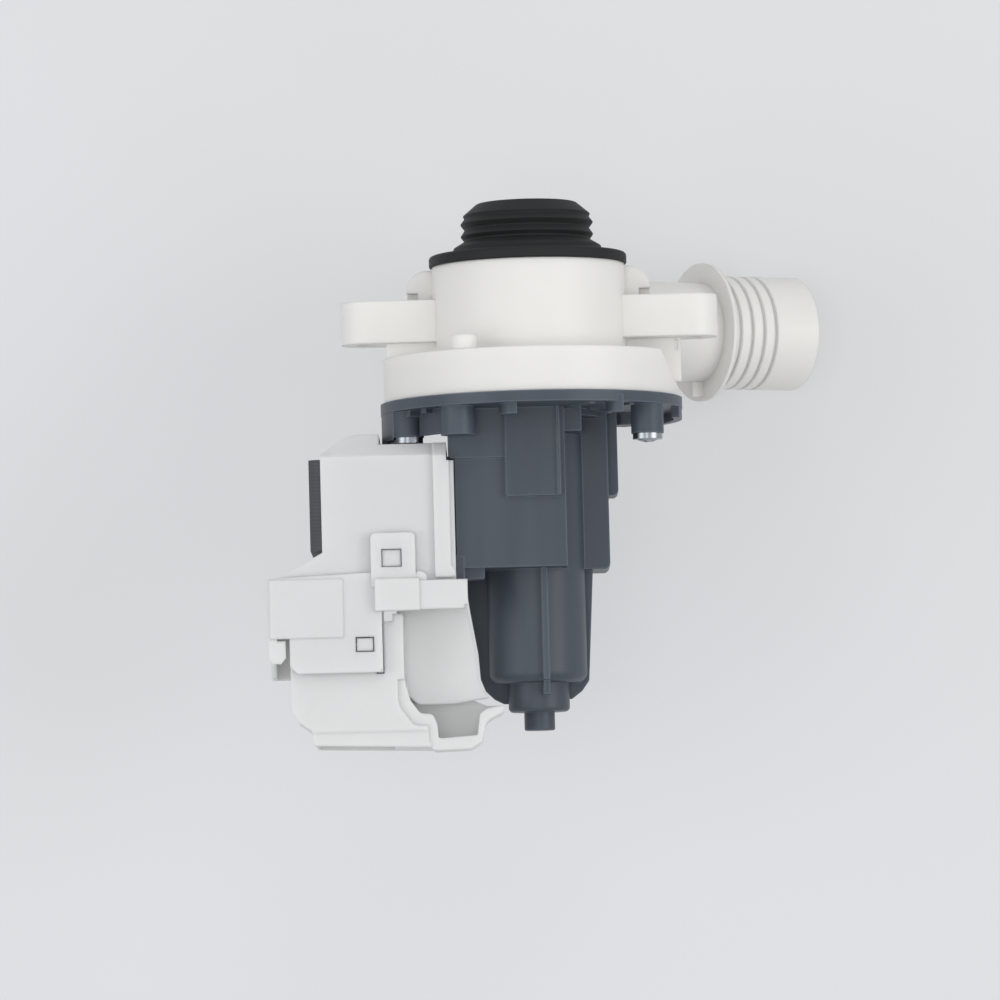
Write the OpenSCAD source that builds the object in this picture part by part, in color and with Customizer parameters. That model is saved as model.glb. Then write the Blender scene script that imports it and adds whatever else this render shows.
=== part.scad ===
// Washer drain pump: upright inlet, side outlet, wet rotor in a can, side stator with clip-on covers.
// The origin is on the shaft axis, in the plane of the two mounting ears' upper faces. Z points up
// through the inlet, X to the outlet's side, Y away from the front.

/* [Pump chamber housing] */
// height of the ear seats above the joint between the two housings
seat_h = 28; // [26:0.5:34]
// outer radius of the lower ring
ring_r = 40; // [38:0.5:46]
// height of the lower ring
ring_h = 12; // [10:0.5:14]
// radius of the impeller chamber
chamber_r = 30; // [28:0.5:31]
// general wall of the pump chamber housing
wall = 2.4; // [2:0.1:3]
// outer radius of the inlet collar
collar_r = 26.2; // [24.5:0.1:28]
// height of the inlet collar above the joint
collar_h = 37; // [35:0.5:42]
// outer radius of the raised scroll behind the collar
scroll_r = 33.4; // [32.5:0.1:35]
// how far the raised scroll's top lies below the collar's rim
scroll_drop = 0.2; // [0.2:0.1:2]
// front plane of the raised scroll
scroll_front = 3; // [0:0.5:6]

/* [Mounting ears] */
// distance between the two ear holes
ear_pitch = 88.4; // [86:0.1:96]
// end radius of an ear
ear_r = 7; // [6:0.25:9]
// thickness of an ear
ear_t = 11.5; // [10:0.1:16]
// radius of an ear hole
ear_hole_r = 2.75; // [2:0.05:3.2]

/* [Outlet] */
// direction of the outlet, turned from the X axis
out_turn = 28; // [15:1:40]
// distance of the outlet axis from the shaft axis
out_side = 18; // [16:0.25:19]
// height of the outlet axis above the joint
out_h = 21.75; // [20:0.05:23]
// distance along the outlet from the shaft to the stop disc
out_disc_at = 63.5; // [58:0.5:76]
// outer radius of the outlet neck
neck_r = 13.7; // [13.2:0.1:14.2]
// radius of the stop disc
disc_r = 19.2; // [18:0.1:23]
// thickness of the stop disc
disc_t = 1.2; // [0.9:0.1:3]
// outer radius of the hose spout
spout_r = 15.75; // [14.5:0.05:17]
// length of the spout from the stop disc's inner face
spout_l = 29.3; // [26:0.1:36]
// pitch of the hose grooves on the spout
groove_pitch = 3.77; // [3:0.05:4.2]
// depth of a hose groove
groove_d = 1.1; // [0.6:0.1:1.4]

/* [Inlet boot] */
// radius of the boot's flange
boot_flange_r = 26.9; // [26:0.1:29]
// thickness of the boot's flange
boot_flange_t = 3; // [2.4:0.1:4]
// radius of the valleys of the bellows
boot_valley_r = 16.95; // [16:0.05:18]
// radius of the mouth of the boot
boot_mouth_r = 10.8; // [9:0.1:12]
// height of the bellows above the flange
boot_h = 14.2; // [13.8:0.1:18]
// wall of the boot
boot_wall = 2; // [1.6:0.1:2.4]

/* [Motor housing] */
// radius of the motor housing's flange
flange_r = 41; // [39:0.5:47]
// thickness of the flange
flange_t = 3; // [2.6:0.1:4]
// depth of the skirt on the left side of the flange
skirt_h = 10.6; // [8:0.2:12]
// depth of the lip on the right side of the flange
lip_h = 5.8; // [5:0.1:8]
// outer radius of the rotor can
can_r = 13.3; // [13:0.1:14]
// wall of the rotor can
can_wall = 1.7; // [1.4:0.1:1.9]
// depth of the rotor can below the joint
can_h = 76.7; // [74:0.5:84]
// outer radius of the rear bearing boss
rear_boss_r = 8.3; // [8:0.1:9.5]
// depth of the rear bearing boss below the joint
rear_boss_h = 84.4; // [83.6:0.2:92]

/* [Rotor] */
// radius of the shaft
shaft_r = 2.5; // [2.2:0.1:3]
// radial running clearance of the shaft in its bearings
run_clear = 0.05; // [0.03:0.01:0.09]
// outer radius of the rotor magnet
magnet_r = 10.7; // [10:0.1:10.9]
// height of the rotor magnet
magnet_h = 30; // [26:0.5:32]
// outer radius of the impeller
impeller_r = 23; // [20:0.5:25]
// height of the impeller vanes
vane_h = 10; // [8:0.5:11]
// angle that the magnet turns before it takes the impeller along
free_turn = 160; // [120:5:200]

/* [Stator] */
// height of the stack of laminations
stack_h = 24.6; // [22:0.1:27]
// distance of the yoke's outer face from the shaft axis
yoke_x = 60.6; // [58:0.2:64]
// thickness of the yoke
yoke_t = 9; // [8:0.2:9.6]
// width of a stator leg
leg_w = 8.6; // [8:0.1:9]
// distance of a leg's middle from the shaft axis
leg_y = 14; // [13.7:0.1:14.4]
// gap between two solid parts that are clipped or slid together
fit_gap = 0.3; // [0.2:0.05:0.4]

/* [Coil cover and clip-on parts] */
// outer face of the coil cover, from the shaft axis
cover_x = 57.3; // [56:0.1:59]
// room under the stack of laminations inside the coil cover
cover_room = 9; // [8:0.2:12]
// half of the depth of the coil cover
cover_y = 23.4; // [23.2:0.1:26]
// wall of the white covers
cover_wall = 1.5; // [1.2:0.1:1.8]
// distance of the clip collar's outer face from the shaft axis
clip_x = 72.4; // [70:0.2:78]
// height of the clip collar's plate
clip_h = 24; // [22:0.2:28]
// height of the terminal shroud's box
shroud_h = 20.6; // [18:0.2:26]

/* [Screws] */
// radius of the circle of housing screws
screw_circle = 36.3; // [35.8:0.1:38]
// radius of a screw head
head_r = 4; // [3.4:0.1:4.3]
// radius of a screw shank
screw_r = 1.9; // [1.6:0.1:2]

/* [Hidden] */
$fn = 96;
eps = 0.01;
big = 200;
joint_z = -seat_h;
// heights of the stator, from the flange's skirt downwards
bob_wall = 0.8;
wind_tz = 0.8;
wind_ty = 2.2;
bob_rim = 0.15;
cover_top = skirt_h + 1.4;
stack_top = cover_top + cover_wall + wind_tz + 2 * bob_rim + bob_wall + fit_gap / 2 + 0.05;
stack_end = stack_top + stack_h;
stack_z = (stack_top + stack_end) / 2;
cover_end = stack_end + cover_room;
cover_h = cover_end - cover_top;
// colours of the materials
white_c = [0.91, 0.91, 0.9];
cool_c = [0.86, 0.87, 0.88];
gray_c = [0.29, 0.32, 0.36];
rubber_c = [0.15, 0.155, 0.165];
steel_c = [0.3, 0.3, 0.32];
zinc_c = [0.62, 0.64, 0.67];
copper_c = [0.72, 0.4, 0.2];
// pump chamber housing
chamber_in_h = ring_h - wall;
chamber_out_r = chamber_r + wall;
collar_bore = collar_r - 3;
scroll_h = collar_h - scroll_drop;
scroll_in_h = scroll_h - 3;
scroll_edge = 6;
// slanted cut at the right of the lower ring
ring_cut_x = ring_r + 1.2;
ring_cut_run = 0.512;
boss_r = 3.5;
pilot_r = screw_r - 0.25;
pilot_top = 9;
screw_turns = [-157.5, -31.3, 45.5, 134.5];
// outlet
neck_bore = neck_r - 2;
spout_bore = spout_r - 2.7;
groove_w = 1;
groove_n = 4;
out_x = -out_side * sin(out_turn);
out_y = out_side * cos(out_turn);
out_dir = [cos(out_turn), sin(out_turn)];
// boot
boot_sleeve_r = collar_bore - fit_gap;
boot_sleeve_h = 9;
boot_top = collar_h + boot_flange_t;
// motor housing
can_in_r = can_r - can_wall;
seat_recess_r = 15.8;
seat_recess_h = 3;
head_boss_r = 18.6;
head_boss_h = 4.9;
skirt_wall = 2.2;
skirt_r = flange_r - 0.15;
groove_in_r = chamber_r - 0.2;
groove_out_r = chamber_out_r + 0.2;
gasket_t = 1.6;
boss_depths = [skirt_h - 0.6, skirt_h + 0.2, flange_t + 0.2, flange_t + 0.2];
boss_out_r = [4.3, 4.4, 4.2, 4.2];
head_h = 2.4;
// rear bearing
bush_r = 4.6;
bush_h = 6;
cup_r = 6.2;
cup_wall = cup_r - bush_r - fit_gap / 3;
cup_floor = 1.2;
cup_top = can_h - can_wall;
cup_h = bush_h + cup_floor;
// front bearing
carrier_r = can_in_r - 0.1;
carrier_h = 9.2;
front_bush_r = 5;
seal_r = 6.6;
seal_h = 3.2;
front_bush_h = carrier_h - 0.6 - (seal_h - 0.8) - 0.05;
// rotor
shaft_top = 13;
shaft_end = cup_top + bush_h - 0.6;
magnet_mid = stack_z;
magnet_top = magnet_mid - magnet_h / 2;
magnet_end = magnet_mid + magnet_h / 2;
magnet_in_r = 6;
sleeve_r = magnet_in_r - 0.05;
rim_t = 1.4;
dog_h = 9;
dog_gap = 0.5;
dog_r = magnet_r - 0.7;
dog_bore = 5.4;
tooth_in = 5.9;
tooth_turn = 40;
dog_turn = 360 - free_turn - tooth_turn;
hub_clear = 0.03;
pole_r = can_r + fit_gap;
leg_end = 6.6;
leg_in = leg_y - leg_w / 2;
leg_out = leg_y + leg_w / 2;
yoke_in = yoke_x - yoke_t;
pin_x = yoke_x - 6.2;
bob_in_y = leg_w / 2 + fit_gap / 2;
bob_in_z = stack_h / 2 + fit_gap / 2;
bob_out_y = bob_in_y + bob_wall;
bob_out_z = bob_in_z + bob_wall;
bob_left = yoke_in - fit_gap;
pocket_left = 21.2;
cover_right = pocket_left + fit_gap;
bob_right = cover_right + cover_wall + 0.9;
bob_flange_t = 1.5;
// gray pockets round the poles
pocket_gap = 0.35;
pocket_wall = 1.9;
front_right = 8.6;
slab_right = 20.3;
slab_y = leg_out + pocket_gap + pocket_wall;
slab_end = stack_end + 5.8;
ledge_h = 2.9;
side_end = stack_top + 10.1;
fin_k = (can_h - slab_end) / 30.7;
rib_x = 2.2;
collar_end = stack_top + 0.8;
// coil cover
cover_line = 8;
cover_room_line = cover_line - cover_wall * sqrt(2);
band_w = 5.6;
band_t = 1.4;
// clip collar
clip_top = cover_end + fit_gap;
clip_end = clip_top + clip_h;
clip_wall = 1.5;
clip_back = 14;
clip_rise = cover_end - 2.4;
clip_edge = cover_right + 20.2;
clip_right = clip_edge + 1.5;
step_x = clip_edge + 10.9;
hook_gap = 1.1;
hook_top = clip_top + 13.4;
nub_mid = clip_edge - 3;
nub_w = 5;
tower_top = clip_rise - 10.6;
nub_h = tower_top + 6.8;
strap_h = 7.8;
strap_end = clip_top + 7.5;
strap_left = clip_edge - 10.3;
strap_right = cover_right - 3;
hump_x = flange_r + 0.5;
slope_top = stack_end + 0.8;
slope_w = clip_x - cover_x - 2.5;
// terminal shroud
shroud_top = clip_end + fit_gap;
shroud_end = shroud_top + shroud_h;
shroud_left = clip_x - 5.8;
box_edge = clip_edge - 2.8;
neck_right = clip_right + fit_gap;
shroud_y = 22;
shroud_back = clip_back - clip_wall - 0.8;
tray_y = 21;
tray_back = -4;
panel_y = -11;
shroud_wall = cover_wall + fit_gap;
snap_mid = clip_edge + 4.7;
snap_h = clip_end - 7.5;
tab_w = 6.3;
tab_t = 0.8;
tab_mid = (shroud_left + box_edge) / 2;
tab_ys = [-9, 1];
tab_end = shroud_top + 9;
block_end = clip_end - 4;
block_left = shroud_left - 4.6;
block_right = neck_right + shroud_wall + fit_gap;
slot_h = 10.8;
block_y0 = -15;
block_y1 = 7;

function unit(v) = v / norm(v);

// points of an outline's corner b, rounded to radius r
function corner(a, b, c, r, n) = let(u = unit(a - b), v = unit(c - b), half = acos(u * v) / 2,
    mid = b + unit(u + v) * r / sin(half), p = b + u * r / tan(half) - mid, q = b + v * r / tan(half) - mid)
    [for (i = [0:n]) mid + r * unit(p * (n - i) + q * i)];

// outline through pts with corner i rounded to rr[i]
function soft(pts, rr, n = 5) = [for (i = [0:len(pts) - 1])
    each rr[i] == 0 ? [pts[i]]
        : corner(pts[(i + len(pts) - 1) % len(pts)], pts[i], pts[(i + 1) % len(pts)], rr[i], n)];

module at(h) {
    translate([0, 0, joint_z + h]) children();
}

module tube(r_out, r_in, h) {
    difference() {
        cylinder(r = r_out, h = h);
        translate([0, 0, -1]) cylinder(r = r_in, h = h + 2);
    }
}

module sector(a0, a1, r, h) {
    rotate([0, 0, a0]) rotate_extrude(angle = a1 - a0) square([r, h]);
}

module arc_wall(a0, a1, r_out, r_in, h) {
    rotate([0, 0, a0]) rotate_extrude(angle = a1 - a0) translate([r_in, 0]) square([r_out - r_in, h]);
}

// a box from its lower left front corner to its upper right back corner
module span(a, b) {
    translate(a) cube([b[0] - a[0], b[1] - a[1], b[2] - a[2]]);
}

module along_outlet(d) {
    translate([out_x + d * out_dir[0], out_y + d * out_dir[1], joint_z + out_h])
        rotate([0, 90, out_turn]) children();
}

module screw_places() {
    for (i = [0:3]) rotate([0, 0, screw_turns[i]]) translate([screw_circle, 0, 0]) children();
}

module ear_places() {
    for (s = [-1, 1]) translate([s * ear_pitch / 2, 0, 0]) children();
}

module scroll_solid(r, h, edge) {
    rotate_extrude() union() {
        square([r - edge, h]);
        square([r, h - edge]);
        translate([r - edge, h - edge]) intersection() {
            circle(r = edge);
            square([edge, edge]);
        }
    }
}

module spout_outer() {
    difference() {
        cylinder(r = spout_r, h = spout_l);
        for (i = [1:groove_n]) translate([0, 0, i * groove_pitch]) tube(spout_r + 2, spout_r - groove_d, groove_w);
    }
}

module volute_outside() {
    ring_solid();
    at(0) cylinder(r = collar_r, h = collar_h);
    intersection() {
        at(0) scroll_solid(scroll_r, scroll_h, scroll_edge);
        span([-big, scroll_front, joint_z], [big, big, big]);
    }
    at(0) screw_places() cylinder(r = boss_r, h = ring_h - 1);
    // ears with an arm to the collar
    translate([0, 0, -ear_t]) {
        ear_places() cylinder(r = ear_r, h = ear_t);
        span([-ear_pitch / 2, -ear_r, 0], [ear_pitch / 2, ear_r, ear_t]);
    }
    // the web under the right ear and the foot under the left ear
    ear_foot();
    ear_web();
    ledge_boss();
    // outlet
    along_outlet(0) cylinder(r = neck_r, h = out_disc_at + 1);
    along_outlet(out_disc_at) cylinder(r = disc_r, h = disc_t);
    along_outlet(out_disc_at) spout_outer();
    disc_rib();
}

module ring_slope(t) {
    // outline of everything within t of the ring's slanted cut, seen from the front
    polygon([[ring_cut_x - t, 0], [ring_cut_x, 0], [ring_cut_x - ring_cut_run * (ring_h + 4), ring_h + 4],
             [ring_cut_x - t - ring_cut_run * (ring_h + 4), ring_h + 4]]);
}

module ring_solid() {
    difference() {
        union() {
            at(0) tube(ring_r, ring_r - wall, ring_h);
            at(0) cylinder(r = chamber_out_r, h = ring_h);
            at(ring_h - wall) cylinder(r = ring_r - eps, h = wall);
            intersection() {
                at(0) cylinder(r = ring_r - eps, h = ring_h);
                upright(-ring_r, ring_r) translate([0, joint_z]) ring_slope(2.7);
            }
        }
        upright(-big, big) translate([20, joint_z]) ring_slope(20);
    }
}

module ear_foot() {
    foot_x = ring_r - 1;
    foot_y = ear_r - 1.5;
    foot_top = seat_h - ear_t;
    at(ring_h - 1) span([-foot_x, -foot_y, 0], [-collar_r + 2, foot_y, foot_top - ring_h + 2]);
}

module ear_web() {
    // upright web behind the ring's slanted cut, with a narrow slot
    web_t = 1.8;
    web_x = ring_r + 1;
    foot_top = seat_h - ear_t;
    difference() {
        at(0) translate([0, web_t / 2, 0]) rotate([90, 0, 0]) linear_extrude(web_t)
            polygon([[collar_r - 2, ring_h - 1], [ring_r - 4, 4.5], [web_x, 4.5], [web_x, foot_top + 1],
                     [collar_r - 2, foot_top + 1]]);
        at(foot_top - 3.4) span([web_x - 1.5, -5, 0], [web_x - 0.9, 5, 2.7]);
    }
}

module ledge_boss() {
    rotate([0, 0, -120]) translate([screw_circle - 0.8, 0, 0]) at(ring_h - 1) cylinder(r = 3.5, h = 5);
}

module disc_rib() {
    rib_l = 3.4;
    along_outlet(out_disc_at - rib_l) translate([0, 0, 0]) rotate([0, 0, 0])
        span([neck_r - 1, -0.9, 0], [disc_r - 1.2, 0.9, rib_l + 0.5]);
}

module volute_inside() {
    at(-1) cylinder(r = chamber_r, h = chamber_in_h + 1);
    at(-1) cylinder(r = collar_bore, h = collar_h + 2);
    intersection() {
        at(0) cylinder(r = chamber_r, h = scroll_in_h);
        span([-big, scroll_front + wall, joint_z], [big, big, big]);
    }
    along_outlet(0) cylinder(r = neck_bore, h = out_disc_at + 3);
    along_outlet(out_disc_at + 2) cylinder(r = spout_bore, h = spout_l);
    at(-1) screw_places() cylinder(r = pilot_r, h = pilot_top + 1);
    translate([0, 0, -ear_t - 1]) ear_places() cylinder(r = ear_hole_r, h = ear_t + 2);
    // pockets in the arms of the ears, open at the top
    for (s = [-1, 1]) translate([s * (ear_pitch / 2 - ear_r - 4.6), 0, -ear_t + 2.6])
        translate([-2.4, -ear_r + 2.2, 0]) cube([4.8, 2 * ear_r - 4.4, ear_t]);
}

module volute_housing() {
    color(white_c) difference() {
        volute_outside();
        volute_inside();
        // room for the ring of the boot in the collar's mouth
        at(collar_h - 1.2) tube(collar_bore + 0.6, collar_bore - 1, 3);
    }
}

module boot_profile() {
    t = boot_top;
    v = boot_valley_r;
    w = boot_wall;
    k = boot_h / 14.2;
    m = boot_mouth_r + 2.5;
    difference() {
        union() {
            square_band(collar_h - boot_sleeve_h, collar_h + 1, boot_sleeve_r);
            polygon(soft([[0, collar_h], [boot_flange_r, collar_h], [boot_flange_r, t], [v + 3.5, t + 0.8],
                [v + 3.1, t + 2.2 * k], [v + 0.1, t + 4 * k], [v + 1.15, t + 5.4 * k], [v, t + 7.1 * k],
                [v + 1.15, t + 8.7 * k], [v, t + 10.2 * k], [v + 0.4, t + 11 * k], [m + 0.5, t + boot_h - 0.2],
                [m, t + boot_h], [0, t + boot_h]],
                [0, 0.5, 0.9, 0.6, 0.5, 0.4, 0.3, 0.35, 0.3, 0.35, 0.3, 0, 0, 0], 3));
        }
        // the way through
        square_band(collar_h - boot_sleeve_h - 1, collar_h - 1, boot_sleeve_r - w - 0.4);
        polygon([[0, collar_h - 1.1], [boot_sleeve_r - w - 0.4, collar_h - 1.1], [boot_sleeve_r - w - 0.4, collar_h],
                 [v - w, t + 1.4], [0, t + 1.4]]);
        square_band(t + 1.3, t + boot_h - 4.6, v - w);
        polygon([[0, t + boot_h - 4.7], [v - w, t + boot_h - 4.7], [boot_mouth_r, t + boot_h - 2.2],
                 [boot_mouth_r, t + boot_h + 1], [0, t + boot_h + 1]]);
    }
}

module square_band(h0, h1, r) {
    translate([0, h0]) square([r, h1 - h0]);
}

module inlet_boot() {
    color(rubber_c) at(0) rotate_extrude() intersection() {
        boot_profile();
        translate([0, -10]) square([100, 100]);
    }
}

module volute_gasket() {
    color(rubber_c) at(-gasket_t) tube(groove_out_r - 0.3, groove_in_r + 0.3, gasket_t);
}

module pan_head() {
    difference() {
        union() {
            translate([0, 0, 0.8]) cylinder(r = head_r, h = head_h - 0.8);
            intersection() {
                cylinder(r = head_r, h = head_h);
                translate([0, 0, 6.2]) sphere(r = 6.2);
            }
        }
        // cross recess
        translate([0, 0, -1]) {
            translate([-2, -0.45, 0]) cube([4, 0.9, 2.1]);
            translate([-0.45, -2, 0]) cube([0.9, 4, 2.1]);
        }
    }
}

module housing_screws() {
    color(zinc_c) for (i = [0:3]) {
        rotate([0, 0, screw_turns[i]]) translate([screw_circle, 0, 0]) {
            at(-boss_depths[i] - head_h) pan_head();
            at(-boss_depths[i] - 0.01) cylinder(r = pilot_r - 0.05, h = boss_depths[i] + pilot_top - 0.8);
        }
    }
}

module round_block(x0, x1, y0, y1, depth, left, right) {
    // block under the flange with its lower corners rounded, seen from the front
    upright(y0, y1) translate([0, joint_z])
        polygon(soft([[x0, -1], [x0, -depth], [x1, -depth], [x1, -1]], [0, left, right, 0]));
}

module pocket_block() {
    // front block, rear slab and pads round the poles
    round_block(-pocket_left, front_right, -slab_y, 0, slab_end, 1.5, 0);
    round_block(-pocket_left, slab_right, -1, slab_y, slab_end, 1.5, 1.6);
    round_block(slab_right - 1, slab_right + 2.8, 4, slab_y - 2, side_end, 0, 1.4);
    round_block(-pocket_left - 1.7, -pocket_left + 1, -slab_y, slab_y, collar_end, 1.2, 0);
    round_block(-pocket_left - 1.7, -7, -slab_y - 0.8, -slab_y + 1, collar_end, 1.2, 0);
    // front pad with a thin rib along its right edge
    pad_end = stack_top + 11.4;
    round_block(-7.5, 6.8, -slab_y - 1.6, -slab_y + 1, pad_end, 0.6, 0);
    round_block(6.4, 7.3, -slab_y - 2.3, -slab_y + 1, pad_end, 0, 0);
    round_block(front_right - 1, front_right + 4.7, -slab_y + 1.5, -4, 9.6, 0, 0.5);
    // ledge under the block's left end
    round_block(-pocket_left + 2, -pocket_left + 7.4, -slab_y + 2, -slab_y + 8, slab_end + ledge_h, 0.6, 0.6);
    // lug that the strap's tongue rests on
    at(-strap_end + 0.9)
        span([-pocket_left - 0.2, -slab_y - 0.3, 0], [-pocket_left + 2, -slab_y + 4, strap_end - slab_end + 2.5]);
}

module pocket_inside() {
    // the two pockets that the poles slide into from the left
    for (s = [-1, 1]) scale([1, s, 1]) {
        difference() {
            at(-stack_end - pocket_gap) span([-pocket_left - 5, leg_in - pocket_gap, 0],
                [leg_end + pocket_gap, leg_out + pocket_gap, stack_h + 2 * pocket_gap]);
            at(-stack_end - 2) cylinder(r = can_r, h = stack_h + 4);
        }
    }
    // the room between the coils and the can
    at(-slab_end + 1.8) difference() {
        span([-pocket_left - 5, -leg_in + 1.4, 0], [-4, leg_in - 1.4, slab_end - 8]);
        translate([0, 0, -1]) cylinder(r = can_r, h = slab_end);
    }
    at(-slab_end + 1.8) difference() {
        span([4, 1.6, 0], [slab_right - 1.8, leg_in - 1.4, slab_end - 14]);
        translate([0, 0, -1]) cylinder(r = can_r, h = slab_end);
    }
}

module web_fin() {
    // upright fin behind the can, from the block to the bearing boss
    fin_t = 2;
    r = can_r;
    b = can_h;
    translate([0, fin_t + 3, 0]) rotate([90, 0, 0]) linear_extrude(fin_t)
        translate([0, joint_z]) polygon(soft([[-pocket_left + 1.6, -slab_end + 1], [-r - 4.9, -b + 20.7 * fin_k],
            [-r - 2.9, -b + 8.7 * fin_k], [-r - 2.4, -b + 1.7 * fin_k], [-r - 1.1, -b - 1.6], [-r + 1.3, -b - 3.9],
            [-r + 3.9, -b - 5.2], [r - 4.3, -b - 4.2], [r - 1.5, -b - 2.1], [r + 0.5, -b + 0.7],
            [r + 2.3, -slab_end + 1]],
            [0, 4, 4, 1.5, 1.5, 1.5, 1, 1, 1.5, 1.5, 0]));
}

module soft_end(r, h, edge) {
    // upright round bar with its lower rim rounded
    rotate_extrude() union() {
        translate([0, edge]) square([r, h - edge]);
        square([r - edge, h]);
        translate([r - edge, edge]) intersection() {
            circle(r = edge);
            translate([0, -edge]) square([edge, edge]);
        }
    }
}

module motor_outside() {
    at(-flange_t) cylinder(r = flange_r, h = flange_t);
    at(-skirt_h) arc_wall(148, 203, skirt_r, skirt_r - skirt_wall, skirt_h - 1);
    at(-skirt_h + 0.8) arc_wall(211, 236, skirt_r - 5.4, skirt_r - 7.4, skirt_h - 1.8);
    at(-lip_h) arc_wall(-12, 36, skirt_r, skirt_r - skirt_wall, lip_h - 1);
    at(-lip_h) arc_wall(55, 75, skirt_r, skirt_r - skirt_wall, lip_h - 1);
    at(-head_boss_h) cylinder(r = head_boss_r, h = head_boss_h - 1);
    at(-can_h + 11) cylinder(r = can_r, h = can_h - 12);
    at(-can_h) soft_end(can_r, 12, 3);
    at(-rear_boss_h) soft_end(rear_boss_r, 14, 1.2);
    at(-rear_boss_h - 5) soft_end(4.15, 6, 0.5);
    pocket_block();
    web_fin();
    // front rib of the can, carried on over its bottom to the bearing boss
    at(-can_h) span([rib_x - 0.85, -can_r - 1.6, 0.6], [rib_x + 0.85, -can_r + 2, can_h - slab_end + 2]);
    at(-can_h - 3.4) span([rib_x - 0.85, -can_r + 1.5, 0], [rib_x + 0.85, -rear_boss_r + 2, 6]);
    // screw bosses
    for (i = [0:3]) rotate([0, 0, screw_turns[i]]) translate([screw_circle, 0, 0])
        at(-boss_depths[i]) cylinder(r = boss_out_r[i], h = boss_depths[i] - 1);
    // plain boss between the screws
    rotate([0, 0, -124.3]) translate([screw_circle - 0.8, 0, 0])
        at(-skirt_h - 0.1) cylinder(r = 4.6, h = skirt_h - 0.7);
    gussets();
    back_boss();
}

module gussets() {
    // fins under the flange at the front
    for (g = [[-149, 35, 4.8], [-140, 34, 4.2], [-64, 33, 3.4], [-45, 34, 3.6]])
        rotate([0, 0, g[0]]) at(-g[2]) span([g[1] - 12, -0.9, 0], [g[1] + 4, 0.9, g[2] - 1]);
    // two curved walls at the front edge
    for (g = [[-4.4, -34.6, 6], [24.2, -29.8, 5.8]])
        translate([g[0], g[1], 0]) at(-g[2]) arc_wall(150, 275, 4.4, 3.3, g[2] - 1);
}

module back_boss() {
    translate([25.3, 15.5, 0]) at(-flange_t - 3) cylinder(r = 4.4, h = 5);
}

module motor_inside() {
    at(-seat_recess_h) cylinder(r = seat_recess_r, h = seat_recess_h + 1);
    at(-can_h + can_wall) cylinder(r = can_in_r, h = can_h);
    at(-cup_top - cup_h) cylinder(r = cup_r + 0.05, h = cup_h + 1);
    at(-cup_top - cup_h - 1.6) cylinder(r = shaft_r, h = 3);
    at(-gasket_t) tube(groove_out_r, groove_in_r, gasket_t + 1);
    for (i = [0:3]) rotate([0, 0, screw_turns[i]]) translate([screw_circle, 0, 0])
        at(-boss_depths[i] - 9) {
            cylinder(r = head_r + 0.35, h = 9);
            cylinder(r = screw_r + 0.15, h = boss_depths[i] + 11);
        }
    // water ways of the flange to the can
    for (a = [60, 240]) rotate([0, 0, a]) translate([20.5, 0, 0]) at(-1.2) cylinder(r = 1.2, h = 3);
    pocket_inside();
}

module motor_housing() {
    color(gray_c) difference() {
        motor_outside();
        motor_inside();
    }
}

module vane(turn) {
    rotate([0, 0, turn]) translate([7.5, 5, 0]) arc_wall(-95, 12, impeller_r - 9.5, impeller_r - 11.1, vane_h);
}

module impeller() {
    plate_t = 1.4;
    color(white_c) at(1.6) difference() {
        union() {
            cylinder(r = impeller_r, h = plate_t);
            cylinder(r = 6, h = vane_h + 2.6);
            translate([0, 0, plate_t - eps]) intersection() {
                for (i = [0:5]) vane(i * 60);
                cylinder(r = impeller_r - 0.2, h = vane_h);
            }
            translate([0, 0, vane_h + 1.6]) cylinder(r = 4.6, h = 1.8);
        }
        translate([0, 0, -1]) cylinder(r = shaft_r + hub_clear, h = shaft_top - 1.2);
    }
}

module impeller_shaft() {
    color(zinc_c) at(-shaft_end) difference() {
        cylinder(r = shaft_r, h = shaft_end + shaft_top - 2.6);
        // a turned groove near the lower end
        translate([0, 0, bush_h + 1.6]) tube(shaft_r + 1, shaft_r - 0.3, 0.8);
    }
}

module drive_dog() {
    // a disc on the shaft with one tooth that the magnet's tooth runs against
    color(gray_c) at(-magnet_end - rim_t - dog_gap - dog_h) difference() {
        union() {
            cylinder(r = dog_r, h = 2.6);
            cylinder(r = dog_bore - 0.2, h = dog_h - 0.4);
            translate([0, 0, 2.5]) rotate([0, 0, 180 - dog_turn / 2])
                arc_wall(0, dog_turn, dog_r - 0.15, dog_bore - 1, dog_h - 3.4);
        }
        translate([0, 0, -1]) cylinder(r = shaft_r + hub_clear, h = dog_h + 2);
    }
}

module magnet_carrier() {
    color(white_c) difference() {
        union() {
            at(-magnet_end - rim_t) cylinder(r = sleeve_r, h = magnet_h + 2 * rim_t);
            at(-magnet_end - rim_t) cylinder(r = magnet_r, h = rim_t);
            at(-magnet_top) cylinder(r = magnet_r - 0.6, h = rim_t);
            // the tooth that runs in the dog's free space
            at(-magnet_end - rim_t - dog_h + 3.2) arc_wall(-tooth_turn / 2, tooth_turn / 2, dog_r - 0.15, tooth_in, dog_h - 3);
        }
        at(-magnet_end - rim_t - 1) cylinder(r = shaft_r + run_clear, h = magnet_h + 2 * rim_t + 2);
    }
}

module rotor_magnet() {
    color([0.16, 0.16, 0.17]) at(-magnet_end) difference() {
        tube(magnet_r, magnet_in_r, magnet_h);
        for (a = [0, 180]) rotate([0, 0, a]) translate([magnet_r + 0.9, 0, -1]) cylinder(r = 1.5, h = magnet_h + 2);
    }
}

module front_bearing() {
    color(rubber_c) at(-carrier_h + 0.6) tube(front_bush_r, shaft_r + run_clear, front_bush_h);
}

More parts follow.
